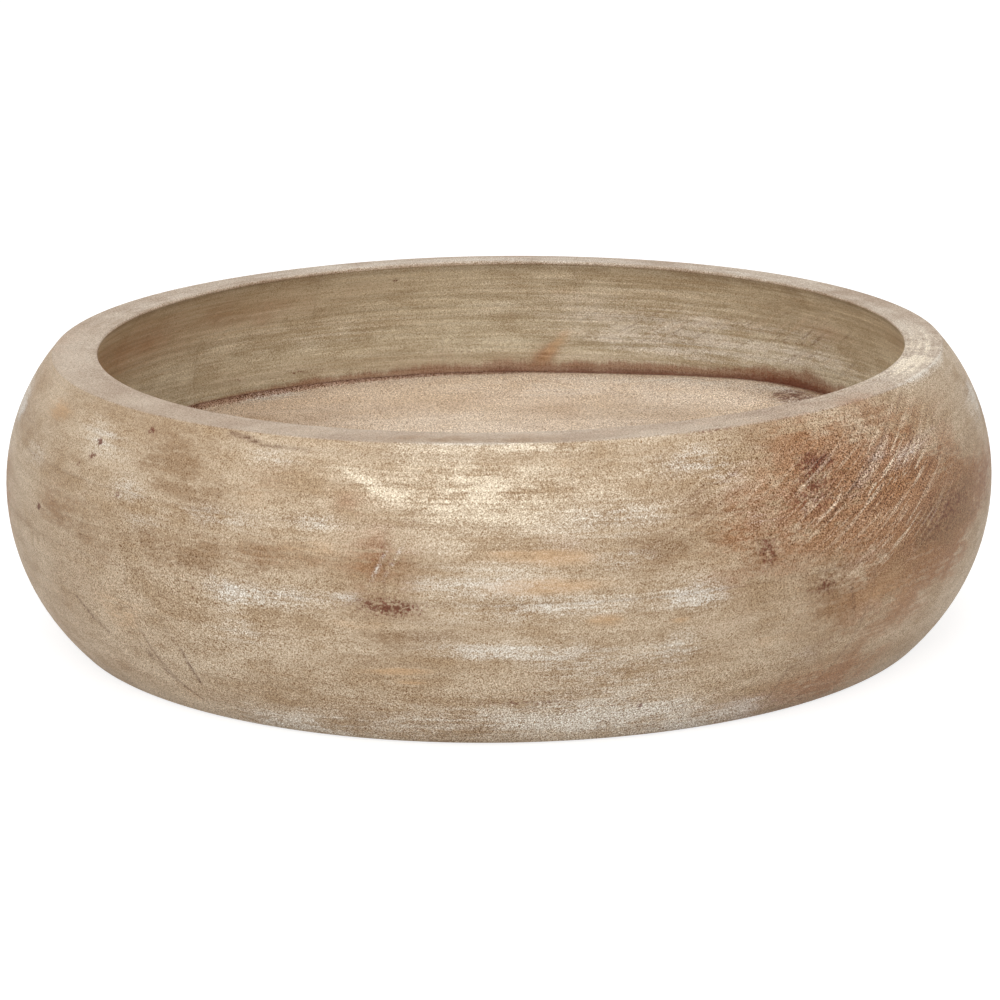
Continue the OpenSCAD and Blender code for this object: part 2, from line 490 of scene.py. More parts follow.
def rim_section():
    """Closed section of the upper course, with the two edges of its flat rim rounded."""
    rise_out = (RIM_Z - FLOOR_Z) / OUTER_ARC
    rise_in = (RIM_Z - FLOOR_Z) / INNER_ARC
    inwards = np.array([-1.0, 0.0])
    up_outside = np.array([-rise_out, math.sqrt(1 - rise_out**2)])
    down_inside = np.array([rise_in, -math.sqrt(1 - rise_in**2)])
    edge = np.array([EDGE_R, RIM_Z])
    mouth = np.array([MOUTH_R, RIM_Z])
    outer_edge = rounded_corner(edge, up_outside, inwards, RIM_ROUND)
    inner_edge = rounded_corner(mouth, inwards, down_inside, RIM_ROUND)
    outer = side_line(eased_lines(COURSE_Z, outer_edge[0, 1], UP_STEP)[:-1], True)
    inner = inner_line(eased_lines(inner_edge[-1, 1], COURSE_Z, UP_STEP)[1:])
    flat = np.linspace(outer_edge[-1, 0], inner_edge[0, 0], round(RIM_WIDTH / UP_STEP))[1:-1]
    steps = round((outer[0, 0] - inner[-1, 0]) / JOINT_STEP)
    bottom = np.linspace(inner[-1, 0], outer[0, 0], steps + 1)[1:-1]
    return joined((OUTSIDE, outer), (RIM, outer_edge), (RIM, level_line(flat, RIM_Z, 1)),
                  (RIM, inner_edge), (INSIDE, inner), (JOINT, level_line(bottom, COURSE_Z, -1)))


def base_side():
    """Line of the base's side, from the rounded edge of the underside up to the widest line."""
    rise = FLOOR_Z / BASE_ARC
    edge = np.array([WIDEST_R - BASE_LEAN, 0.0])
    up_side = np.array([rise, math.sqrt(1 - rise**2)])
    foot = rounded_corner(edge, np.array([1.0, 0.0]), up_side, UNDERSIDE_ROUND)
    up = eased_lines(foot[-1, 1], FLOOR_Z, UP_STEP)[1:]
    return np.concatenate([foot, side_line(up, False)])


# Forms: what the tools and the years left on the surface

def lathe_relief(angle, along):
    """Height of the turning marks: two sets of fine ridges along the section, which sway a little round
    the bowl and fade in and out, on a slow swell of three waves, with given phases."""
    sway = 0.6 * np.sin(2 * angle + 0.4) + 0.4 * np.sin(5 * angle + 1.1)
    wide = np.sin(2 * np.pi * along / WIDE_RIDGES + sway)
    narrow = np.sin(2 * np.pi * along / NARROW_RIDGES - 2 * sway)
    fade = 0.6 + 0.4 * np.sin(2 * np.pi * along / RIDGE_FADE + 3 * angle)
    swell = np.sin(2 * angle + 0.8) + 0.7 * np.sin(3 * angle - 1.0)
    swell = swell + 0.4 * np.sin(7 * angle + along / SWELL_SLANT)
    return RIDGE_HEIGHT * (wide + 0.7 * narrow) * fade + SWELL_HEIGHT * swell


def ease(distance):
    """How far the edge of a joint is rubbed back at a distance from the joint, a narrow bell."""
    return -EASE_DEPTH * np.exp(-(distance / EASE_WIDTH)**2)


def turn_between(angle, place):
    """Turn from a place to an angle, by the short way round."""
    return (angle - place + math.pi) % (2 * math.pi) - math.pi


def marks(angle, height, table):
    """Sum of soft ellipses on the unrolled wall, each falling off as a bell along its own two axes."""
    total = np.zeros(np.broadcast(angle, height).shape)
    for place, level, length, tall, tilt, strength in table:
        across = turn_between(angle, math.radians(place)) * WIDEST_R / MM
        up = height / MM - level
        cos, sin = math.cos(math.radians(tilt)), math.sin(math.radians(tilt))
        first = (across * cos + up * sin) / length
        second = (up * cos - across * sin) / tall
        total += strength * np.exp(-(first**2 + second**2))
    return total


def strewn(seed, count, length, tall, strength):
    """Marks strewn over the back, with sizes and strengths drawn from the given spans."""
    draw = np.random.default_rng(seed).uniform
    spans = (BACK_ANGLES, BACK_HEIGHTS, length, tall, BACK_TILTS, strength)
    return tuple(zip(*[draw(*span, count) for span in spans]))


BACK_MARKS = {
    "wash": strewn(1, 34, (7, 24), (2.5, 7), (0.5, 1.0)) + ((180, 110, 330, 9, 0, 0.5),),
    "tan": strewn(2, 24, (6, 20), (2, 8), (0.5, 1.1)),
    "stain": strewn(3, 30, (3, 16), (1.2, 6), (0.3, 1.0)),
    "ruddy": strewn(4, 16, (18, 50), (8, 18), (0.5, 1.1)),
    "scuff": strewn(5, 4, (20, 40), (6, 12), (0.6, 1.0)),
    "umber": strewn(6, 14, (14, 40), (5, 14), (0.4, 0.9)),
    "cream": strewn(7, 8, (10, 26), (4, 8), (0.4, 0.9)),
    "streaks": strewn(8, 5, (50, 90), (12, 40), (-0.3, 0.6)),
}


def cracks(angle, height):
    """Depth of the cracks and how dark they are: bells across straight runs on the unrolled wall."""
    depth = np.zeros(np.broadcast(angle, height).shape)
    dark = depth.copy()
    for first, low, last, high, width, deep in CRACKS:
        run = np.array([math.radians(last - first) * WIDEST_R, (high - low) * MM])
        across = turn_between(angle, math.radians(first)) * WIDEST_R
        up = height - low * MM
        share = np.clip((across * run[0] + up * run[1]) / (run @ run), 0, 1)
        gap = np.hypot(across - share * run[0], up - share * run[1])
        bell = np.exp(-(gap / (width * MM))**2)
        depth = np.maximum(depth, deep * MM * bell)
        dark = np.maximum(dark, min(1, deep / DARK_DEPTH) * bell)
    return depth, dark


def out_of_true(line, angle):
    """How far each point of a section lies further in than drawn: nothing at the outside and at the
    floor, and all of the extra width at the inner edge of the rim."""
    outer, inner = outside_r(line[:, 1]), inside_r(line[:, 1])
    inward = np.clip((outer - line[:, 0]) / (outer - inner), 0, 1)
    rise = (line[:, 1] - FLOOR_Z) / (RIM_Z - FLOOR_Z)
    extra = np.zeros(angle.shape)
    for place, reach, width in WIDER_RIM:
        extra = extra + width * np.exp(-(turn_between(angle, place) / reach)**2)
    return (inward * rise)[:, None] * extra


def floor_lift(angle, radius):
    """How far the floor lies above its drawn height: a tilt, and a bell of dirt in the corner."""
    tilt = FLOOR_TILT * np.sin(angle) * radius / FLOOR_R - FLOOR_DROP
    off_place = turn_between(angle, FILL_PLACE) / FILL_REACH
    off_corner = (FLOOR_R - radius) / FILL_WIDTH
    return tilt + FILL_HEIGHT * np.exp(-off_place**2 - off_corner**2)


def corner_dirt(kind, angle, radius, height):
    """One in the corner of the floor, falling off evenly up the wall and over a line on the floor."""
    reach = np.full(angle.shape, CORNER_REACH)
    for place, width, gain in CORNER_CHANGES:
        reach = reach + gain * np.exp(-(turn_between(angle, place) / width)**2)
    wall = np.clip(1 - (height - FLOOR_Z - floor_lift(angle, FLOOR_R)) / reach, 0, 1)
    floor = np.clip(1 - (FLOOR_R - radius) / FLOOR_DIRT, 0, 1)
    return np.where(kind == INSIDE, wall, np.where(kind == FLOOR, floor, 0))


# Meshes

def grid_faces(rows, columns, wrap=False):
    """Corner indices of the quads of a grid of points, whose rows may close on themselves."""
    row = np.arange(rows if wrap else rows - 1)[:, None]
    column = np.arange(columns - 1)[None, :]
    after = (row + 1) % rows
    here, above = row * columns + column, after * columns + column
    return np.stack([here, here + 1, above + 1, above], -1).reshape(-1, 4)


def carry(mesh, name, values):
    """Gives every point of a mesh a vector under that name."""
    mesh.attributes.new(name, "FLOAT_VECTOR", "POINT").data.foreach_set("vector", values.ravel())


class Piece:
    """Gathers the grids and flat faces of one piece of timber, and welds them into a mesh."""

    def __init__(self, name):
        self.name = name
        self.points, self.skin, self.looks, self.quads, self.flats = [], [], [], [], []
        self.count = 0

    def grid(self, points, skin, looks, wrap=False, flip=False):
        """Adds a grid of points with their unrolled places and looks, and returns its indices."""
        rows, columns = points.shape[:2]
        faces = grid_faces(rows, columns, wrap) + self.count
        self.quads.append(faces[:, ::-1] if flip else faces)
        self.points.append(points.reshape(-1, 3))
        self.skin.append(skin.reshape(-1, 2))
        self.looks.append(looks.reshape(-1, looks.shape[-1]))
        index = np.arange(rows * columns).reshape(rows, columns) + self.count
        self.count += rows * columns
        return index

    def flat(self, *edges):
        """Adds one flat face round the given runs of indices."""
        self.flats.append(np.concatenate(edges))

    def corner_loops(self, merged):
        """Corners of each face after the merge: whole quads, quads closed to triangles, and flats."""
        corners = np.concatenate(self.quads)
        same = merged[corners] == np.roll(merged[corners], -1, axis=1)
        whole = corners[same.sum(1) == 0]
        pinched = corners[same.sum(1) == 1]
        keep = (same[same.sum(1) == 1].argmax(1)[:, None] + np.array([1, 2, 3])) % 4
        loops = whole.tolist() + np.take_along_axis(pinched, keep, 1).tolist()
        for ring in self.flats:
            loops.append(ring[merged[ring] != merged[np.roll(ring, -1)]].tolist())
        return loops

    def weld(self, timber, material):
        """Merges points that coincide, drops what collapsed, and makes the object with its attributes."""
        points = np.concatenate(self.points)
        cells = np.round(points / WELD_GAP).astype(np.int64)
        _, first, merged = np.unique(cells, axis=0, return_index=True, return_inverse=True)
        merged = merged.reshape(-1)
        loops = self.corner_loops(merged)
        flat_loops = np.concatenate([np.asarray(loop) for loop in loops])
        starts = np.cumsum([0] + [len(loop) for loop in loops])
        welded = merged[flat_loops].tolist()
        faces = [welded[a:b] for a, b in zip(starts[:-1], starts[1:])]

        mesh = bpy.data.meshes.new(self.name)
        mesh.from_pydata(points[first], [], faces)
        mesh.polygons.foreach_set("use_smooth", np.ones(len(faces), bool))
        skin = np.concatenate(self.skin)[flat_loops]
        mesh.uv_layers.new(name="skin").data.foreach_set("uv", skin.ravel())
        looks = np.concatenate(self.looks)[first]
        for column, name in enumerate(LOOKS):
            carry(mesh, name, looks[:, 3 * column:3 * column + 3])
        carry(mesh, "timber", timber(points[first]))
        mesh.set_sharp_from_angle(angle=SHARP_EDGE)
        mesh.materials.append(material)
        piece = bpy.data.objects.new(self.name, mesh)
        bpy.context.scene.collection.objects.link(piece)
        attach(piece, "root")
        return piece


def by_kind(table, kind):
    """Value that a table gives for each point's kind of surface."""
    return np.array([table[side] for side in range(JOINT + 1)])[kind]


def looks_of(kind, angle, radius, height, seam):
    """Looks of each point in the order of LOOK_NAMES: its marks, its wear and the kind of side it lies
    on. The height of the outside's marks runs on over the rim."""
    kind, angle, radius, height, seam = np.broadcast_arrays(kind, angle, radius, height, seam)
    looks = {name: np.zeros(kind.shape) for name in LOOK_NAMES}
    outside = (kind == OUTSIDE) | (kind == RIM)
    over_rim = height + np.where(kind == RIM, EDGE_R - radius, 0)
    places = [(outside, over_rim, table) for table in (LEFT_MARKS, FRONT_MARKS, RIGHT_MARKS, BACK_MARKS)]
    places += [(kind == INSIDE, height, INSIDE_MARKS), (kind == FLOOR, radius, FLOOR_MARKS)]
    for here, level, table in places:
        for name, rows in table.items():
            looks[name][here] += marks(angle[here], level[here], rows)

    joint = np.exp(-(seam / SEAM_WIDTH)**2) * (kind != JOINT)
    looks["seam"] = joint * np.where(outside, SEAM_DIRT + marks(angle, height, OPEN_JOINTS), SEAM_DIRT)
    looks["seam"][outside] = np.maximum(looks["seam"], cracks(angle, over_rim)[1])[outside]
    looks["rim"] = kind == RIM
    looks["hollow"] = (kind == INSIDE) | (kind == FLOOR)
    looks["corner"] = corner_dirt(kind, angle, radius, height)
    looks["grain"] = by_kind(GRAIN, kind)
    looks["grain"][outside] += marks(angle[outside], height[outside], STRONG_GRAIN)
    looks["streaks"] += by_kind(STREAKS, kind)
    looks["rings"] = by_kind(RINGS, kind)
    # Painted shade: darker just under the rim on the inside, and on the floor beside the wall
    under_rim = (kind == INSIDE) * np.exp((height - RIM_Z) / UNDER_RIM)
    by_wall = (kind == FLOOR) * FLOOR_SHADE * np.exp((radius - FLOOR_R) / FLOOR_SHADE_WIDTH)
    looks["shade"] = under_rim + by_wall
    return np.stack([looks[name] for name in LOOK_NAMES], -1)


def section_length(line):
    """Length along a section up to each of its points."""
    steps = np.hypot(np.diff(line[:, 0]), np.diff(line[:, 1]))
    return np.concatenate([[0], np.cumsum(steps)])


def turned(line, angle, lift, inward=0.0):
    """Points of a section carried round the axis, each moved out along its normal by lift, and inward
    towards the axis."""
    r = line[:, 0, None] + lift * line[:, 2, None] - inward
    z = line[:, 1, None] + lift * line[:, 3, None]
    return np.stack([r * np.sin(angle), -r * np.cos(angle), z + 0 * angle], -1)


def segment(name, section, first_angle, material):
    """One mitred segment: a section carried round the axis, its joint edges eased and its ends closed."""
    line, kind = section
    reach = SEGMENT_ANGLE * WIDEST_R
    angle = first_angle + eased_lines(0, reach, ROUND_STEP)[None, :] / WIDEST_R
    z = line[:, 1, None]
    along = section_length(line)[:, None]
    end_gap = np.minimum(angle - angle[0, 0], angle[0, -1] - angle) * line[:, 0, None]
    level_gap = np.abs(z - COURSE_Z) + 0 * angle
    level_gap = np.where(kind[:, None] == JOINT, NO_JOINT, np.minimum(level_gap, np.abs(z - FLOOR_Z)))
    seam = np.minimum(end_gap, level_gap)
    relief = lathe_relief(angle, z + RIDGE_SLOPE * line[:, 0, None]) + ease(seam)
    relief = relief - (kind[:, None] == OUTSIDE) * cracks(angle, z)[0]
    lift = np.where(kind[:, None] == JOINT, 0, relief)
    points = turned(line, angle, lift, out_of_true(line, angle))
    skin = np.stack([angle * WIDEST_R + 0 * along, along + 0 * angle], -1)
    looks = looks_of(kind[:, None], angle, line[:, 0, None], z, seam)

    piece = Piece(name)
    index = piece.grid(points, skin, looks, wrap=True)
    piece.flat(index[:, 0])
    piece.flat(index[::-1, -1])
    middle = first_angle + SEGMENT_ANGLE / 2
    return piece.weld(lambda p: grain_place(p, middle, name), material)


def grain_place(points, facing, name):
    """Place of each point in its own plank: along the grain, across it and up, from its own start."""
    start = np.random.default_rng(sum(map(ord, name)) * GRAIN_SEED).uniform(-1, 1, 3)
    along = points[:, 0] * math.cos(facing) + points[:, 1] * math.sin(facing)
    across = points[:, 0] * math.sin(facing) - points[:, 1] * math.cos(facing)
    return np.stack([along, across, points[:, 2]], 1) + start


def side_points(line, angle, seam):
    """Points of the base's side at the given angles, with their unrolled places and looks."""
    along = section_length(line)[:, None]
    z = line[:, 1, None]
    gap = np.minimum(seam, np.abs(z - FLOOR_Z))
    lift = lathe_relief(angle, z + RIDGE_SLOPE * line[:, 0, None]) + ease(gap) - cracks(angle, z)[0]
    lift = lift * np.clip(z / FOOT_FADE, 0, 1)
    skin = np.stack([angle * WIDEST_R, along + 0 * angle], -1)
    return turned(line, angle, lift), skin, looks_of(OUTSIDE, angle, line[:, 0, None], z, gap)


def level_points(near, far, share, kind, seam):
    """Points of a level face between two edges, with turning marks and tilt where it is the floor."""
    points = near[None] * (1 - share[:, None, None]) + far[None] * share[:, None, None]
    r = np.hypot(points[..., 0], points[..., 1])
    angle = np.arctan2(points[..., 0], -points[..., 1])
    if kind == FLOOR:
        lift = FLOOR_RELIEF * lathe_relief(angle, r) + ease(seam) + floor_lift(angle, r)
        low_edge = np.where(lift > 0, FLOOR_R + UNDER_WALL, FLOOR_R)
        points[..., 2] += lift * np.clip((low_edge - r) / FLOOR_RAMP, 0, 1)
    looks = looks_of(kind, angle, r, points[..., 2], seam)
    return points, points[..., :2].copy(), looks


def inner_board(name, front, back, material):
    """A board that runs right across: two curved ends, the floor and the underside between them, and
    two joint faces."""
    line = base_side()
    y = eased_lines(front, back, ROUND_STEP)[None, :]
    seam = np.minimum(y - front, back - y)
    r = line[:, 0, None]
    piece = Piece(name)
    ends = []
    for side in (-1, 1):
        angle = np.arctan2(side * np.sqrt(r**2 - y**2), -y)
        points, skin, looks = side_points(line, angle, seam)
        ends.append((points, piece.grid(points, skin, looks, flip=side < 0)))
    share = np.linspace(0, 1, round(2 * WIDEST_R / ROUND_STEP) + 1)
    (left, left_index), (right, right_index) = ends
    floor = piece.grid(*level_points(left[-1], right[-1], share, FLOOR, seam), flip=True)
    under = piece.grid(*level_points(left[0], right[0], share, UNDERSIDE, seam))
    piece.flat(under[:, 0], right_index[:, 0], floor[::-1, 0], left_index[::-1, 0])
    piece.flat(left_index[:, -1], floor[:, -1], right_index[::-1, -1], under[::-1, -1])
    return piece.weld(lambda p: grain_place(p, 0.0, name), material)


def outer_board(name, joint, facing, material):
    """An outermost board: one curved side from end to end of its straight joint, a half-moon floor and
    a half-moon underside."""
    line = base_side()
    half = np.arccos(joint / line[:, 0, None])
    reach = half[-1, 0] * WIDEST_R
    turn = eased_lines(-reach, reach, ROUND_STEP)[None, :] / reach
    angle = facing + turn * half
    seam = line[:, 0, None] * np.cos(turn * half) - joint
    piece = Piece(name)
    points, skin, looks = side_points(line, angle, seam)
    side = piece.grid(points, skin, looks)
    share = eased_lines(0, WIDEST_R - joint, ROUND_STEP) / (WIDEST_R - joint)
    rings = []
    for row, kind in ((-1, FLOOR), (0, UNDERSIDE)):
        arc = points[row]
        chord = arc[-1] - arc[0]
        part = (arc - arc[0]) @ chord / (chord @ chord)
        straight = arc[0] + part[:, None] * chord
        gap = share[:, None] * np.linalg.norm(arc - straight, axis=1)[None]
        level = level_points(straight, arc, share, kind, gap)
        rings.append(piece.grid(*level, flip=kind == FLOOR)[0])
    floor, under = rings
    piece.flat(side[:, 0], floor, side[::-1, -1], under[::-1])
    return piece.weld(lambda p: grain_place(p, facing, name), material)


# Materials

class Finish:
    """A material, or the look of the surroundings, that is put together node by node."""

    def __init__(self, owner):
        self.owner = owner
        self.owner.use_nodes = True
        self.tree = self.owner.node_tree
        self.tree.nodes.clear()

    def add(self, kind, inputs, output=0, **settings):
        """A node of that kind with its settings, its inputs set or linked. Returns one of its outputs."""
        node = self.tree.nodes.new(kind)
        for key, value in settings.items():
            setattr(node, key, value)
        for key, value in inputs.items():
            if isinstance(value, bpy.types.NodeSocket):
                self.tree.links.new(value, node.inputs[key])
            else:
                node.inputs[key].default_value = value
        return node.outputs[output]

    def surface(self, shader, ending="ShaderNodeOutputMaterial"):
        """Ends the nodes with their shader."""
        output = self.tree.nodes.new(ending)
        self.tree.links.new(shader, output.inputs["Surface"])
        return self.owner

    def attribute(self, name):
        """The three values of a vector attribute, apart."""
        vector = self.add("ShaderNodeAttribute", {}, "Vector", attribute_name=name)
        return tuple(self.add("ShaderNodeSeparateXYZ", {0: vector}).node.outputs)

    def looks(self):
        """The looks that the points of a piece carry, each under its own name."""
        values = sum((self.attribute(name) for name in LOOKS), ())
        return SimpleNamespace(**dict(zip(LOOK_NAMES, values)))

    def stretched(self, vector, scale):
        """Coordinates multiplied by one number along each axis."""
        return self.add("ShaderNodeVectorMath", {0: vector, 1: scale}, operation="MULTIPLY")

    def noise(self, vector, scale, detail, roughness):
        """Cloudy values about one half."""
        settings = {"Vector": vector, "Scale": scale, "Detail": detail, "Roughness": roughness}
        return self.add("ShaderNodeTexNoise", settings)

    def math(self, operation, *values):
        """One sum on two or three values."""
        return self.add("ShaderNodeMath", dict(enumerate(values)), operation=operation)

    def blend(self, *parts):
        """Sum of values, each with its own weight."""
        total = self.math("MULTIPLY", *parts[0])
        for value, weight in parts[1:]:
            total = self.math("MULTIPLY_ADD", value, weight, total)
        return total

    def fitted(self, value, low, high, to_low=0.0, to_high=1.0):
        """A value brought smoothly from the span low to high into another span."""
        return self.add("ShaderNodeMapRange", {0: value, 1: low, 2: high, 3: to_low, 4: to_high},
                        interpolation_type="SMOOTHSTEP")

    def mixed(self, share, first, second):
        """One colour over another."""
        return self.add("ShaderNodeMix", {0: share, 6: first, 7: second}, 2, data_type="RGBA")

    def speckled(self, colour, swing):
        """A colour made lighter and paler, or darker and browner, by a swing about nought."""
        shares = {0: swing, 1: SPECKLE_TINT, 2: (1, 1, 1)}
        tint = self.add("ShaderNodeVectorMath", shares, operation="MULTIPLY_ADD")
        return self.add("ShaderNodeVectorMath", {0: colour, 1: tint}, operation="MULTIPLY")

    def scaled(self, colour, factor):
        """A colour made lighter or darker by a factor."""
        return self.add("ShaderNodeVectorMath", {0: colour, "Scale": factor}, operation="SCALE")


def colour(red, green, blue):
    """A screen colour from 0 to 255 as the linear values that a shader takes."""
    share = np.array([red, green, blue]) / 255
    linear = np.where(share <= 0.04045, share / 12.92, ((share + 0.055) / 1.055)**2.4)
    return (*linear.tolist(), 1.0)


# Dark and light of the wood on each side of the bowl. The inside and the floor carry their own tone and
# are also made lighter, as painted light standing in for the light that falls into the hollow
SIDE_WOOD = colour(170, 143, 112), colour(207, 187, 161)
INSIDE_WOOD_WITH_PAINTED_LIGHT = colour(178, 161, 133), colour(211, 200, 175)
FLOOR_WOOD_WITH_PAINTED_LIGHT = colour(212, 188, 161), colour(235, 217, 196)
RIM_WOOD = colour(171, 149, 128), colour(200, 183, 163)

# Colours of what lies on the wood or shows through the wash, and of the painted highlights and shade
WARM_BROWN = colour(150, 99, 58)
DULL_BROWN = colour(142, 110, 76)
BARE_TAN = colour(204, 167, 127)
# White of the wash, also used for painted highlights, sheen and light bounced from the floor
WASH_AND_PAINTED_LIGHT_WHITE = colour(228, 220, 208)
# Thick cream, also used for painted highlights
CREAM_AND_HIGHLIGHT = colour(240, 224, 199)
DARK_STAIN = colour(104, 56, 38)
PALE_SCRATCH = colour(210, 188, 162)
DARK_SCRATCH = colour(112, 72, 50)
CORNER_BROWN = colour(142, 96, 72)
CORNER_DARK = colour(108, 60, 44)
# Painted shade under the rim and on the floor beside the wall
PAINTED_SHADE = colour(92, 70, 50)
SEAM_DARK = colour(100, 66, 46)

# Turns that keep the speckle off the axes and slant the scratches
SPECKLE_TURN = (0.6, 0.4, 0.2)
SCRATCH_TURN = (0, 0, math.radians(-28))


# In the functions below, f is the finish that is put together, look holds the looks of its points, and
# n holds its noises. Weights and spans of the noises are chosen

def patterns(f, look):
    """Noises that the finish is made of, drawn along the plank, round the bowl, or cloudy."""
    place = f.add("ShaderNodeTexCoord", {}, "Object")
    timber = f.add("ShaderNodeAttribute", {}, "Vector", attribute_name="timber")
    skin = f.add("ShaderNodeUVMap", {}, uv_map="skin")
    askew = f.add("ShaderNodeMapping", {"Vector": place, "Rotation": SPECKLE_TURN})
    slant = f.add("ShaderNodeMapping", {"Vector": skin, "Rotation": SCRATCH_TURN})
    n = SimpleNamespace()
    n.streak = f.noise(f.stretched(timber, (6, 70, 70)), 1.0, 5, 0.6)
    n.fibre = f.noise(f.stretched(timber, (60, 520, 520)), 1.0, 3, 0.6)
    n.cloud = f.noise(f.stretched(place, (1, 1, 3.6)), 24, 4, 0.6)
    n.blotch = f.noise(f.stretched(place, (1, 1, 1.8)), 70, 4, 0.62)
    n.clump = f.noise(f.stretched(place, (1, 1, 2.0)), 340, 3, 0.65)
    n.pepper = f.noise(askew, 1050, 2, 0.6)
    n.mottle = f.blend((f.noise(askew, 1300, 1, 0.5), 0.2), (f.noise(askew, 2300, 1, 0.5), 0.8))
    n.level = f.noise(f.stretched(skin, (22, 560, 1)), 1.0, 2, 0.6)
    n.lathe = f.noise(f.stretched(skin, (7, 640, 1)), 1.0, 3, 0.7)
    n.scratch = f.noise(f.stretched(slant, (40, 560, 1)), 1.0, 3, 0.6)
    n.lumps = f.noise(f.stretched(skin, (55, 30, 1)), 1.0, 2, 0.6)
    n.comb = f.noise(f.stretched(skin, (850, 90, 1)), 1.0, 2, 0.6)
    n.drawn = f.math("MULTIPLY", f.math("SUBTRACT", n.level, 0.5), look.streaks)
    n.rag = f.fitted(f.blend((n.blotch, 0.4), (n.level, 0.3), (n.clump, 0.3)), 0.38, 0.62, 0.4, 1.45)
    return n


def plain_wood(f, look, n, outside, hollow, rim):
    """The wood between the dark and the light of the side that it is on, by its figure."""
    figure = f.blend((n.streak, 0.2), (n.fibre, 0.12), (n.cloud, 0.35), (n.blotch, 0.33), (n.drawn, 0.3))
    dark, light = [f.mixed(look.rim, f.mixed(look.hollow, side, inner), top)
                   for side, inner, top in zip(outside, hollow, rim)]
    return f.mixed(f.fitted(figure, 0.38, 0.62), dark, light)


def browned(f, look, n, wood):
    """Warm and dull browns, ragged on the outside and even in the hollow."""
    worn = f.fitted(look.hollow, 0, 1, n.rag, 1.0)
    for mark, most, brown in ((look.ruddy, 0.8, WARM_BROWN), (look.umber, 0.75, DULL_BROWN)):
        share = f.blend((f.math("MULTIPLY", mark, worn), 0.9), (n.blotch, 1.0), (n.mottle, 1.2))
        wood = f.mixed(f.fitted(share, 1.15, 2.4, 0, most), wood, brown)
    return wood


def tan_share(f, look, n):
    """How far smooth tan wood lies bare, in level streaks."""
    streaky = f.fitted(f.blend((n.blotch, 0.5), (n.level, 0.5)), 0.36, 0.64, 0.5, 1.3)
    share = f.blend((f.math("MULTIPLY", look.tan, streaky), 1.0), (n.blotch, 0.5))
    return f.fitted(share, 0.42, 1.25, 0, 0.72)


def washed_and_highlighted(f, look, n, wood):
    """White wash in the pores, and thick cream where it was left to dry. Some of the white and most of
    the cream in front are painted highlights and sheen, along the edges, on the rim and high on the
    front.
    """
    chalk_and_painted_light = f.math("MULTIPLY", look.wash, n.rag)
    chalk_and_painted_light = f.blend((chalk_and_painted_light, 1.0), (n.mottle, 1.0), (n.cloud, 0.7), (n.drawn, 1.0))
    wood = f.mixed(f.fitted(chalk_and_painted_light, 0.95, 2.1, 0, 0.72), wood, WASH_AND_PAINTED_LIGHT_WHITE)
    glow = f.math("MULTIPLY", look.cream, n.rag)
    glow = f.blend((glow, 1.0), (n.mottle, 1.1), (n.blotch, 0.7), (n.drawn, 1.2))
    return f.mixed(f.fitted(glow, 1.05, 2.2, 0, 0.75), wood, CREAM_AND_HIGHLIGHT)


def stained(f, look, n, wood):
    """Dark stains, made of grains that crowd together where the mark is strong."""
    clot = f.fitted(n.clump, 0.32, 0.68, 0.6, 1.3)
    grains = f.blend((f.math("MULTIPLY", look.stain, clot), 1.4), (n.pepper, 4.5), (n.mottle, 3.0))
    return f.mixed(f.fitted(grains, 4.75, 6.0, 0, 0.9), wood, DARK_STAIN)


def scratched(f, look, n, wood):
    """Slanted scratches, pale on one side of the noise and dark on the other."""
    for start, full, most, tint in ((0.50, 0.64, 0.6, PALE_SCRATCH), (0.44, 0.32, 0.65, DARK_SCRATCH)):
        lines = f.fitted(n.scratch, start, full, 0, most)
        wood = f.mixed(f.math("MULTIPLY", lines, look.scuff), wood, tint)
    return wood


def dirtied_and_shaded(f, look, n, wood):
    """Old dirt, a ragged line in the floor's corner and dark joints and cracks, and painted shade under
    the rim and on the floor beside the wall.
    """
    ragged = f.blend((look.corner, 1.0), (n.lumps, 0.8), (n.comb, 0.5))
    wood = f.mixed(f.fitted(ragged, 0.8, 1.25, 0, 0.7), wood, CORNER_BROWN)
    wood = f.mixed(f.fitted(ragged, 1.3, 1.6, 0, 0.55), wood, CORNER_DARK)
    # Painted shade under the rim and on the floor beside the wall
    shade = f.math("MULTIPLY", look.shade, f.fitted(n.lumps, 0.3, 0.6, 0.7, 1.0))
    wood = f.mixed(shade, wood, PAINTED_SHADE)
    seam = f.math("MULTIPLY", look.seam, f.fitted(n.clump, 0.36, 0.56, 0.45, 0.9))
    return f.mixed(seam, wood, SEAM_DARK)


def grained(f, look, n, wood, bare):
    """Fine speckle, calmer where tan wood lies bare, and the lines of the turning."""
    strength = f.math("MULTIPLY", look.grain, f.fitted(bare, 0, 0.7, 3.0, 1.6))
    swing = f.math("MULTIPLY", f.math("SUBTRACT", n.mottle, 0.5), strength)
    ring = f.math("MULTIPLY_ADD", f.math("SUBTRACT", n.lathe, 0.5), look.rings, 1.0)
    return f.scaled(f.speckled(wood, swing), ring)


def limed_timber(name, outside, hollow, rim):
    """Pale open-grained timber with a white wash rubbed into it. Each pair is the dark and the light of
    one side, and the marks are read from the attributes of the pieces."""
    f = Finish(bpy.data.materials.new(name))
    look = f.looks()
    n = patterns(f, look)
    bare = tan_share(f, look, n)
    wood = browned(f, look, n, plain_wood(f, look, n, outside, hollow, rim))
    wood = washed_and_highlighted(f, look, n, f.mixed(bare, wood, BARE_TAN))
    wood = scratched(f, look, n, stained(f, look, n, wood))
    wood = grained(f, look, n, dirtied_and_shaded(f, look, n, wood), bare)
    grit = f.blend((n.mottle, 0.75), (n.fibre, 0.25))
    bump = f.add("ShaderNodeBump", {"Strength": 0.4, "Distance": 0.6 * MM, "Height": grit})
    roughness = f.fitted(n.mottle, 0.3, 0.7, 0.46, 0.66)
    return f.surface(f.add("ShaderNodeBsdfPrincipled", {
        "Base Color": wood, "Roughness": roughness, "Normal": bump, "Specular IOR Level": 0.2, "IOR": 1.5,
    }))


# Stage

# Strength of the light that comes from all round
SKY_LIGHT = 0.50


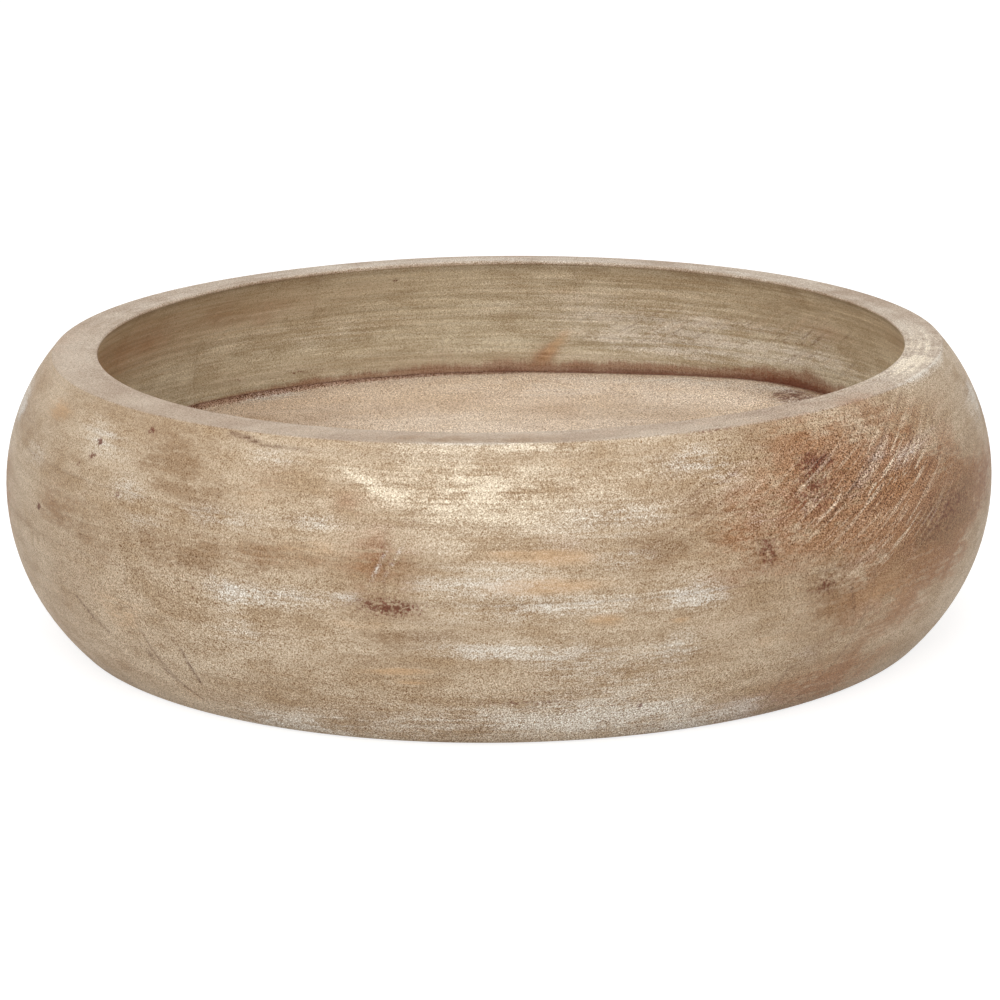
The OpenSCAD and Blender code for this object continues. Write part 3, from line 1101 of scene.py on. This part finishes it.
def white_floor():
    """A wide plain floor, white to the camera and pale grey where the bowl shades it."""
    size = 8.0
    mesh = bpy.data.meshes.new("floor")
    corners = np.array([(-1, -1), (1, -1), (1, 1), (-1, 1)]) * size / 2
    drop = -0.2 * MM
    mesh.from_pydata(np.column_stack([corners, np.full(4, drop)]), [], [(0, 1, 2, 3)])
    floor = bpy.data.objects.new("floor", mesh)
    bpy.context.scene.collection.objects.link(floor)
    f = Finish(bpy.data.materials.new("floor_white"))
    paint = f.add("ShaderNodeBsdfDiffuse", {"Color": (0.8, 0.8, 0.8, 1)})
    shaded = f.add("ShaderNodeBsdfDiffuse", {"Color": (0.45, 0.45, 0.45, 1)})
    glow = f.add("ShaderNodeEmission", {"Color": (1, 1, 1, 1), "Strength": 0.80})
    shown = f.add("ShaderNodeAddShader", {0: shaded, 1: glow})
    mesh.materials.append(f.surface(f.add("ShaderNodeMixShader", {0: seen(f), 1: paint, 2: shown})))


def seen(f):
    """One where a ray comes from the camera, straight or by way of gloss or glass, or else nought."""
    rays = f.add("ShaderNodeLightPath", {}).node
    gloss = f.math("MAXIMUM", rays.outputs["Is Glossy Ray"], rays.outputs["Is Transmission Ray"])
    return f.math("MAXIMUM", rays.outputs["Is Camera Ray"], gloss)


def studio_light():
    """Even white surroundings, a large soft lamp in front, a little to the left, and one above."""
    sky = Finish(bpy.data.worlds.new("studio"))
    strength = sky.fitted(seen(sky), 0, 1, SKY_LIGHT, 1.0)
    background = sky.add("ShaderNodeBackground", {"Color": (1, 1, 1, 1), "Strength": strength})
    bpy.context.scene.world = sky.surface(background, "ShaderNodeOutputWorld")
    softbox("front_softbox", size=1.6, watts=13.0, bearing=-8, rise=38, distance=1.7)
    softbox("top_softbox", size=1.2, watts=7.0, bearing=0, rise=82, distance=1.5)


def softbox(name, size, watts, bearing, rise, distance):
    """A square lamp that looks at the middle of the bowl from a bearing and a rise in degrees."""
    lamp = bpy.data.lights.new(name, "AREA")
    lamp.shape = "SQUARE"
    lamp.size = size
    lamp.energy = watts
    box = bpy.data.objects.new(name, lamp)
    bpy.context.scene.collection.objects.link(box)
    turn, lift = math.radians(bearing), math.radians(rise)
    aim = Vector((math.cos(lift) * math.sin(turn), -math.cos(lift) * math.cos(turn), math.sin(lift)))
    box.location = distance * aim + Vector((0, 0, FLOOR_Z))
    box.rotation_euler = aim.to_track_quat("Z", "Y").to_euler()


def photo_camera():
    """The camera that the fit to the photograph's outline gave: place, aim, roll and lens."""
    elevation, distance = math.radians(14.277), 1.3084
    pitch = elevation + math.radians(0.346)
    roll, yaw = math.radians(-0.71), math.radians(0.011)
    target_z = 50 * MM
    focal_share = 3.5881
    eye = np.array([0, -distance * math.cos(elevation), target_z + distance * math.sin(elevation)])
    ahead = np.array([math.sin(yaw) * math.cos(pitch), math.cos(yaw) * math.cos(pitch), -math.sin(pitch)])
    right = np.cross(ahead, (0, 0, 1))
    right = right / np.linalg.norm(right)
    above = np.cross(right, ahead)
    turned_right = math.cos(roll) * right + math.sin(roll) * above
    turned_above = -math.sin(roll) * right + math.cos(roll) * above
    pose = np.eye(4)
    pose[:3] = np.column_stack([turned_right, turned_above, -ahead, eye])
    lens = bpy.data.cameras.new("camera")
    lens.sensor_width = 36
    lens.lens = focal_share * lens.sensor_width
    lens.clip_end = 50
    camera = bpy.data.objects.new("camera", lens)
    bpy.context.scene.collection.objects.link(camera)
    camera.matrix_world = Matrix(pose.tolist())
    bpy.context.scene.camera = camera


def build_bowl():
    """Every board and segment, each standing for its own node."""
    base = limed_timber("base_wood", SIDE_WOOD, FLOOR_WOOD_WITH_PAINTED_LIGHT, RIM_WOOD)
    wall = limed_timber("wall_wood", SIDE_WOOD, INSIDE_WOOD_WITH_PAINTED_LIGHT, RIM_WOOD)
    rim = limed_timber("rim_wood", SIDE_WOOD, INSIDE_WOOD_WITH_PAINTED_LIGHT, RIM_WOOD)
    outermost = BOARD_COUNT // 2
    for number in range(1, BOARD_COUNT + 1):
        step = number // 2
        sense = -1 if number % 2 == 0 else 1
        near, far = (step - 0.5) * BOARD_WIDTH, (step + 0.5) * BOARD_WIDTH
        name = f"base_board_{number}"
        if step == outermost:
            piece = outer_board(name + "_turned", near, 0.0 if sense < 0 else math.pi, base)
        else:
            low, high = sorted((sense * near, sense * far))
            piece = inner_board(name + "_turned", low, high, base)
        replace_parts(piece, name)
    courses = (("wall", wall_section(), 0.0, wall), ("rim", rim_section(), 0.5, rim))
    for course, section, shift, timber in courses:
        for number in range(1, SEGMENT_COUNT + 1):
            name = f"{course}_segment_{number}"
            first = FIRST_JOINT + (number - 1 + shift) * SEGMENT_ANGLE
            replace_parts(segment(name + "_turned", section, first, timber), name)


bpy.context.scene.view_settings.view_transform = "Standard"
photo_camera()
studio_light()
white_floor()
build_bowl()
